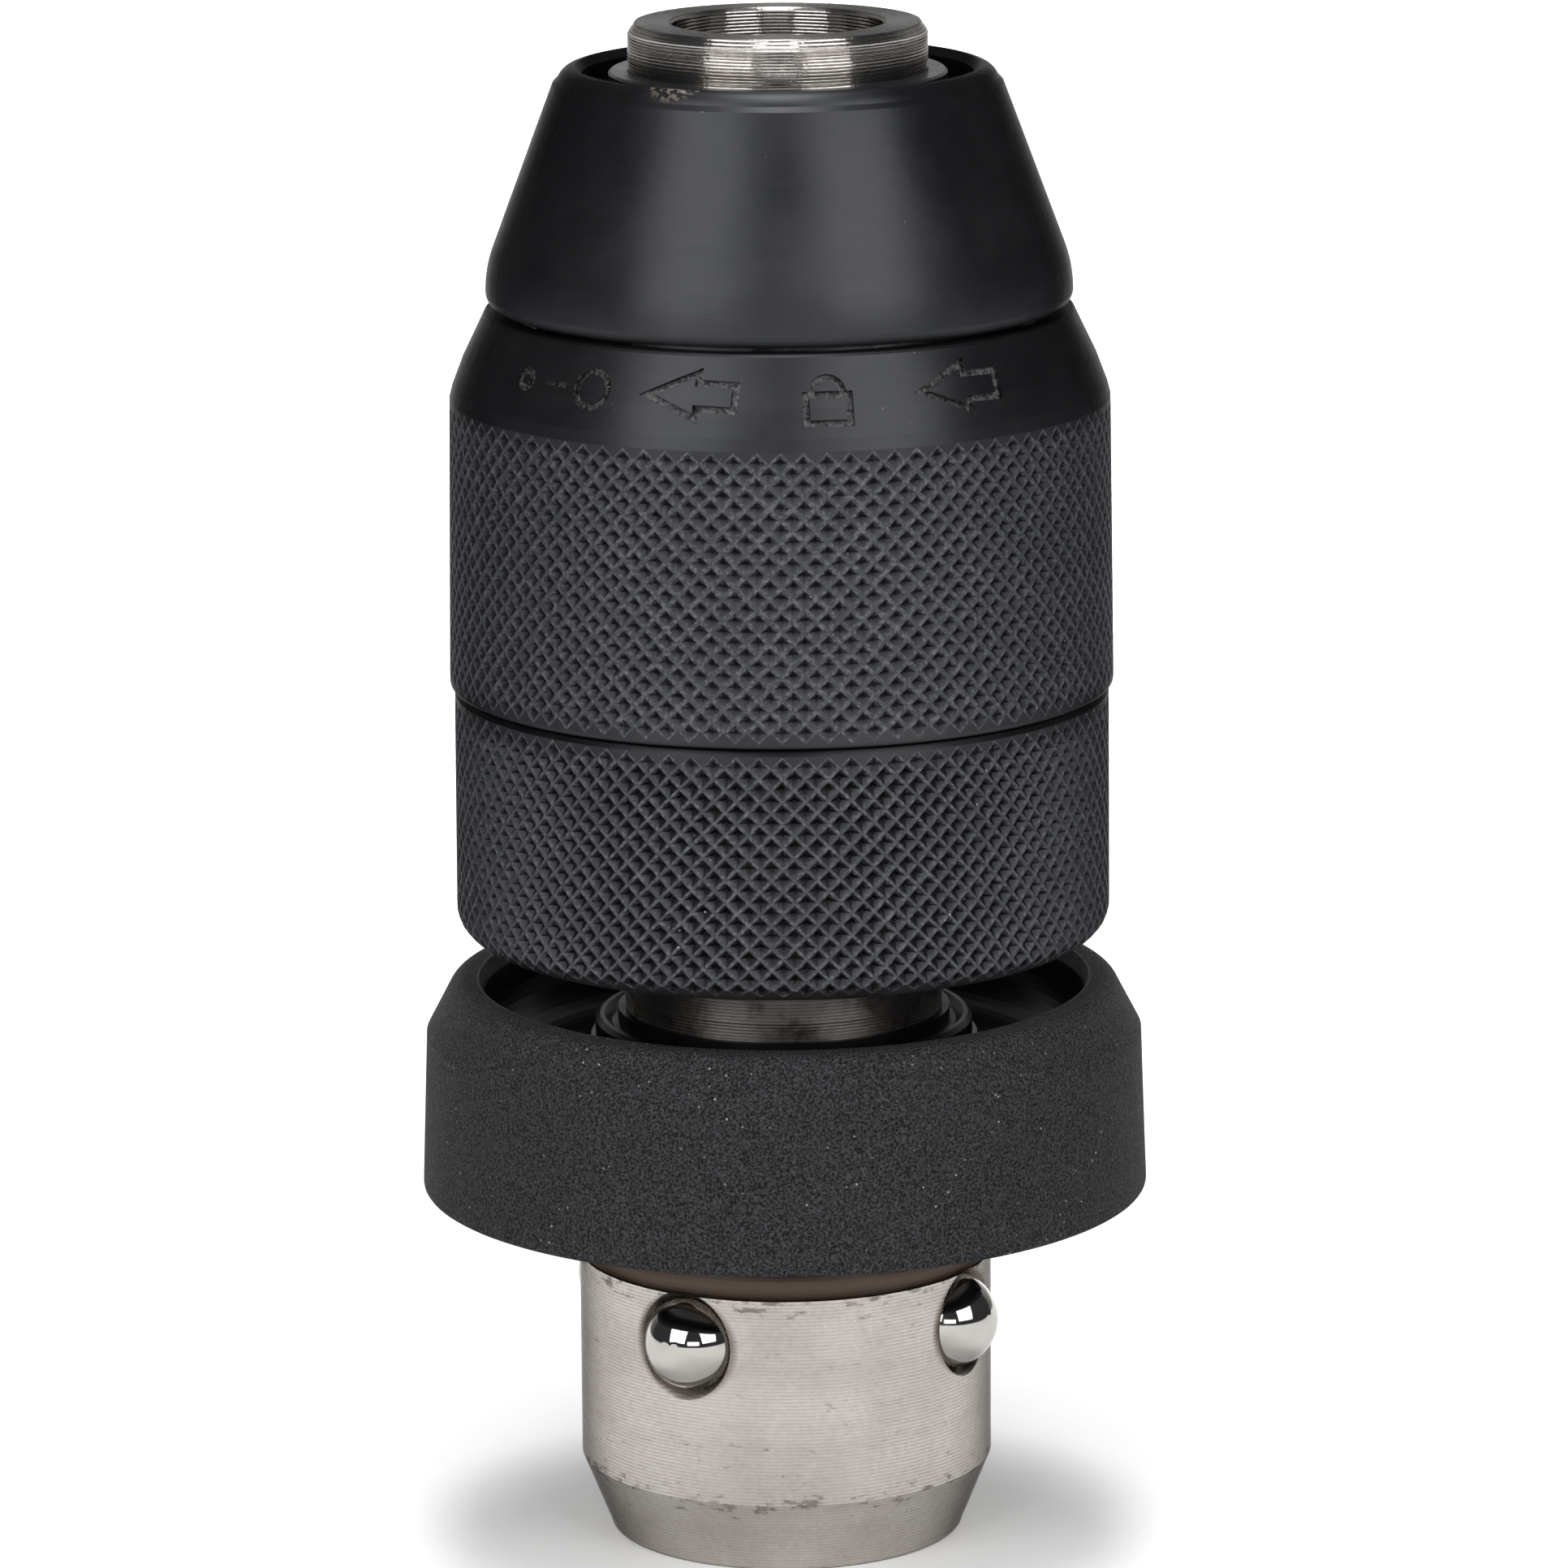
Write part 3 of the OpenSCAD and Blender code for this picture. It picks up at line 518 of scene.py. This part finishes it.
def drawn_steel():
    """Spring wire and strip: even grey with fine drawing marks."""
    m = Recipe("drawn_steel", metallic=1.0)
    dark, light = (0.34, 0.34, 0.35), (0.46, 0.46, 0.47)
    mark = m.noise(0.15 * MM, detail=3)
    rough = m.remap(mark, (0.3, 0.7), (0.28, 0.42))
    return m.finish(m.mix(mark, dark, light), rough, m.bump(mark, 0.003 * MM))


def black_oxide():
    """The spindle, screws and washers: black, slightly oily."""
    m = Recipe("black_oxide", metallic=0.8)
    dark, light = (0.014, 0.014, 0.015), (0.028, 0.028, 0.03)
    haze = m.noise(2 * MM, detail=4)
    rough = m.remap(haze, (0.3, 0.7), (0.34, 0.46))
    grain = m.noise(0.2 * MM, detail=3)
    return m.finish(m.mix(haze, dark, light), rough, m.bump(grain, 0.005 * MM))


def stamped_brass():
    """The bearing's cage: pressed sheet, a little hazy."""
    m = Recipe("stamped_brass", metallic=1.0)
    dark, light = (0.42, 0.3, 0.13), (0.55, 0.42, 0.2)
    haze = m.noise(1.5 * MM, detail=4)
    rough = m.remap(haze, (0.3, 0.7), (0.28, 0.42))
    grain = m.noise(0.2 * MM, detail=2)
    return m.finish(m.mix(haze, dark, light), rough, m.bump(grain, 0.004 * MM))


# ---- Knurled grips ----

PLAIN, PITTED, MARKED = range(3)  # the finishes of a sleeve, in order
ROUND = 92  # diamonds round each grip
PIT_DEPTH = 0.36 * MM
PIT_SPREAD = (0.9, 1.05)  # a pit's least and greatest share of that depth
PIT_DRIFT = 0.03  # how far a pit may lie off its place, in half-pitches
RIDGE_WEAR = 0.012  # mm, the most that a point of a ridge is worn down
END_RISE = 0.55  # how much of its depth a pit gains with each row from the grip's end
SHARP = 32  # an edge sharper than this, in degrees, stays crisp

# The clamping sleeve's marked band: a cone that leans in, from a point on it
BAND_R = 20.115 * MM
BAND_Z = 79.275 * MM
BAND_SLOPE = 0.44  # metres in for each metre up
MARKS_LOW_Z = 76.9 * MM
MARKS_HIGH_Z = 80.7 * MM
MARKS_LEAST_DEPTH = 0.03 * MM


class Skin:
    """Collects a mesh in rings round the chuck's axis, with two half-pitch columns for each diamond."""

    columns = 2 * ROUND

    def __init__(self):
        self.points = []
        self.crest = []  # for each point, 1 on a ridge's top and 0 at a pit's floor
        self.faces = []
        self.knurled = []  # for each face, whether it is part of a pit

    def add(self, step, r, z, crest=0.0):
        """Adds the point at radius r and height z, step half-pitches round from the front."""
        a = math.pi * step / ROUND
        self.points.append((r * math.sin(a), -r * math.cos(a), z))
        self.crest.append(crest)
        return len(self.points) - 1

    def ring(self, r, z):
        return [self.add(i, r, z) for i in range(self.columns)]

    def face(self, corners, knurled=False):
        self.faces.append(corners)
        self.knurled.append(knurled)

    def wall(self, low, high):
        """Joins two rings. The face looks outward when high is above low."""
        for i in range(self.columns):
            j = (i + 1) % self.columns
            self.face((low[i], low[j], high[j], high[i]))

    def knurl(self, path, rows, ridge, seed):
        """Adds rows of pressed pits between crossing ridges, and returns the lowest and highest ring.

        path gives radius, height and outward direction at a share from 0 to 1 up the grip. ridge is the
        ridges' share of the pitch.
        """
        rng = np.random.default_rng(seed)
        # Steps from a ridge's edge down to the pit's floor: half-width in half-pitches, share of the depth,
        # and how far up the ridge the colour takes it to be
        edge = (1 - ridge, 0.0, 1.0)
        shoulder = (0.93 - ridge, 0.09, 0.6)
        floor = (0.16, 0.93, 0.0)

        def put(i, j, down, crest):
            r, z, out_r, out_z = path(j / rows)
            return self.add(i, r - down * out_r, z - down * out_z, crest)

        def press(i, j, corners):
            """Adds the pit between four points of the ridges."""
            depth = PIT_DEPTH * rng.uniform(*PIT_SPREAD) * min(1.0, END_RISE * min(j, rows - j))
            shift_i, shift_j = rng.uniform(-PIT_DRIFT, PIT_DRIFT, 2)
            for share, down, crest in (edge, shoulder, floor):
                inner = [
                    put(i + shift_i + share * di, j + shift_j + share * dj, down * depth, crest)
                    for di, dj in ((1, 0), (0, 1), (-1, 0), (0, -1))
                ]
                for a in range(4):
                    b = (a + 1) % 4
                    self.face((corners[a], corners[b], inner[b], inner[a]), True)
                corners = inner
            self.face(tuple(corners), True)

        level = {}
        for j in range(rows + 1):
            for i in range(self.columns):
                if (i + j) % 2 == 0 or j in (0, rows):
                    level[i, j] = put(i, j, rng.uniform(0, RIDGE_WEAR) * MM, 1.0)
        for j in range(rows + 1):
            for i in range(self.columns):
                if (i + j) % 2 == 0:
                    continue
                right = level[(i + 1) % self.columns, j]
                left = level[(i - 1) % self.columns, j]
                if j == 0:
                    self.face((left, level[i, 0], level[i, 1]))
                    self.face((level[i, 0], right, level[i, 1]))
                elif j == rows:
                    self.face((right, level[i, j], level[i, j - 1]))
                    self.face((level[i, j], left, level[i, j - 1]))
                else:
                    press(i, j, [right, level[i, j + 1], left, level[i, j - 1]])
        return [[level[i, j] for i in range(self.columns)] for j in (0, rows)]

    def piece(self, name, body, node, extra=None, under_surface=None):
        """Makes the object that stands for a CAD node.

        extra is a mesh to join to it, finished like its plain part. under_surface tells its pressed marks.
        """
        mesh = bpy.data.meshes.new(name)
        mesh.from_pydata(self.points, [], self.faces)
        mesh.attributes.new("crest", "FLOAT", "POINT").data.foreach_set("value", self.crest)
        finishes = np.where(self.knurled, PITTED, PLAIN).astype(np.int32)
        mesh.polygons.foreach_set("material_index", finishes)
        piece = bpy.data.objects.new(name, mesh)
        bpy.context.scene.collection.objects.link(piece)
        for made in (BURNISHED, KNURLED, STAMPED):
            mesh.materials.append(made)
        if extra is not None:
            join(piece, extra)
        smooth(mesh)
        if under_surface is not None:
            finish_marks(mesh, under_surface)
            true_up(mesh)
        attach(piece, body)
        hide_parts(node)


def smooth(mesh):
    """Smooth shading, with sharp edges left crisp."""
    mesh.shade_smooth()
    mesh.set_sharp_from_angle(angle=math.radians(SHARP))


def finish_marks(mesh, under_surface):
    """Gives the pressed marks their finish. under_surface(r, z) tells a point below the turned surface."""
    for face in mesh.polygons:
        if face.material_index == PLAIN and under_surface(face.center.xy.length, face.center.z):
            face.material_index = MARKED


def true_up(mesh):
    """Gives the turned surfaces their exact normals, and leaves the knurl's and the marks' as they are."""
    off_axis = 0.1  # sine of the angle by which a turned face's normal may miss the axis
    normals = []
    for face in mesh.polygons:
        centre = face.center.xy.normalized()
        across = face.normal.xy
        turned_face = abs(centre.cross(across)) < off_axis and face.material_index == PLAIN
        for v in face.vertices:
            if turned_face:
                out = mesh.vertices[v].co.xy.normalized() * across.dot(centre)
                normals.append((out.x, out.y, face.normal.z))
            else:
                normals.append((0, 0, 0) if face.material_index == PITTED else face.normal)
    mesh.normals_split_custom_set(normals)


def join(piece, mesh):
    """Adds another mesh's faces to a piece."""
    graft = bmesh.new()
    graft.from_mesh(piece.data)
    graft.from_mesh(mesh)
    graft.to_mesh(piece.data)
    graft.free()


def straight_then_round(low, high, corner=0, turn=0):
    """Path up a grip: round a corner of this radius for turn degrees, then straight up from low to high.

    low and high are (radius, height). Without a corner the path is straight.
    """
    rise = Vector(high) - Vector(low)
    curve = corner * math.radians(turn)
    length = rise.length + curve

    def at(share):
        walked = share * length - curve
        if walked < 0:
            a = walked / corner
            out_r, out_z = math.cos(a), math.sin(a)
            return low[0] - corner + corner * out_r, low[1] + corner * out_z, out_r, out_z
        point = Vector(low) + rise * (walked / rise.length)
        return point.x, point.y, rise.y / rise.length, -rise.x / rise.length

    return at


def holding_sleeve():
    """The lower sleeve, knurled down to half-way round its lower corner."""
    low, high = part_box("holding_sleeve")
    outer, bottom, top = high.x, low.z, high.z
    corner, knurled_turn = 1.95 * MM, 52
    lean, chamfer = 0.06 * MM, 0.3 * MM
    bore, hub = 19.88 * MM, 10.5 * MM
    floor_z = bottom + 1.54 * MM
    face_r = outer - corner - 1 * MM
    skin = Skin()
    path = straight_then_round(
        (outer, bottom + corner), (outer - lean, top - chamfer), corner, knurled_turn
    )
    first, last = skin.knurl(path, rows=22, ridge=0.17, seed=3)
    rings = [last]
    for r, z in (
        (outer - chamfer, top),
        (bore, top),
        (bore, floor_z),
        (hub, floor_z),
        (hub, bottom),
        (face_r, bottom),
    ):
        rings.append(skin.ring(r, z))
    plain_steps = 6
    for k in range(plain_steps):
        a = math.radians(-90 + (90 - knurled_turn) * k / plain_steps)
        r, z = outer - corner + corner * math.cos(a), bottom + corner + corner * math.sin(a)
        rings.append(skin.ring(r, z))
    rings.append(first)
    for a, b in zip(rings, rings[1:]):
        skin.wall(a, b)
    skin.piece("holding_sleeve_knurled", "chuck", "holding_sleeve")


def clamping_sleeve():
    """The upper sleeve: the CAD node's marked band, bore and edges, with a knurled grip for its wall."""
    low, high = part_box("clamping_sleeve")
    outer = high.x
    grip_low, grip_high = low.z + 0.35 * MM, low.z + 18.9 * MM
    lean = 0.23 * MM
    skin = Skin()
    path = straight_then_round((outer, grip_low), (outer - lean, grip_high))
    skin.knurl(path, rows=26, ridge=0.24, seed=4)
    shell = bmesh.new()
    shell.from_mesh(NODES["clamping_sleeve"].data)
    bmesh.ops.remove_doubles(shell, verts=shell.verts, dist=1e-7)
    slack_r, slack_z = 0.3 * MM, 0.02 * MM

    # The CAD node's wall gives way to the knurled one
    def on_grip(v):
        return v.co.xy.length > outer - slack_r and grip_low - slack_z < v.co.z < grip_high + slack_z

    wall = [f for f in shell.faces if all(on_grip(v) for v in f.verts)]
    bmesh.ops.delete(shell, geom=wall, context="FACES")
    rest = bpy.data.meshes.new("clamping_sleeve_shell")
    shell.to_mesh(rest)
    shell.free()

    def under_band(r, z):
        band_r = BAND_R - (z - BAND_Z) * BAND_SLOPE
        return MARKS_LOW_Z < z < MARKS_HIGH_Z and r < band_r - MARKS_LEAST_DEPTH

    skin.piece("clamping_sleeve_knurled", "clamp", "clamping_sleeve", rest, under_band)


# ---- Spring ----


def release_spring():
    """The spring over the release sleeve.

    It is a copy of the CAD node with the node's material, so dress_nodes comes first.
    """
    piece = bpy.data.objects.new("release_spring_coil", NODES["release_spring"].data.copy())
    bpy.context.scene.collection.objects.link(piece)
    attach(piece, "chuck")
    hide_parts("release_spring")
    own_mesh(piece)


# ---- Finishes of the CAD nodes ----


def dress_nodes():
    """Gives every CAD node its material, also where a Blender piece stands for it."""
    dark = turned("dark_steel", light=(0.26, 0.235, 0.21), dark=(0.13, 0.115, 0.1), roughness=0.34)
    ground = turned("ground_steel", light=(0.5, 0.48, 0.455), dark=(0.38, 0.36, 0.34), roughness=0.3)
    finishes = {
        tube_steel(): ["coupling_tube"],
        bronze(): ["stop_ring"],
        ground: [
            "tube_pins", "release_sleeve", "ratchet_ring", "rear_race", "front_race",
            "nut_half_left", "nut_half_right", "jaw_1", "jaw_2", "jaw_3",
        ],
        dark: ["drive_ring", "nut_band"],
        drawn_steel(): ["spigot_circlip", "release_spring", "pawl_springs"],
        polished_steel(): [*LOCK_BALLS, "thrust_balls"],
        grained_plastic(): ["guard_collar", "guide_ring"],
        body_steel(): ["chuck_body"],
        black_oxide(): ["drive_spindle", "retaining_screw", "nose_washer"],
        burnished_steel("burnished_cone", WORN_SPOT): ["nose_cone"],
        stamped_brass(): ["ball_cage"],
        BURNISHED: ["holding_sleeve", "clamping_sleeve"],
    }
    for made, names in finishes.items():
        for name in names:
            mesh = NODES[name].data
            mesh.materials.clear()
            mesh.materials.append(made)


BURNISHED = burnished_steel()
KNURLED = knurled_steel()
STAMPED = stamped_steel()

make_camera()
make_lamps()
make_world()
make_stage()
dress_nodes()
release_spring()
holding_sleeve()
clamping_sleeve()
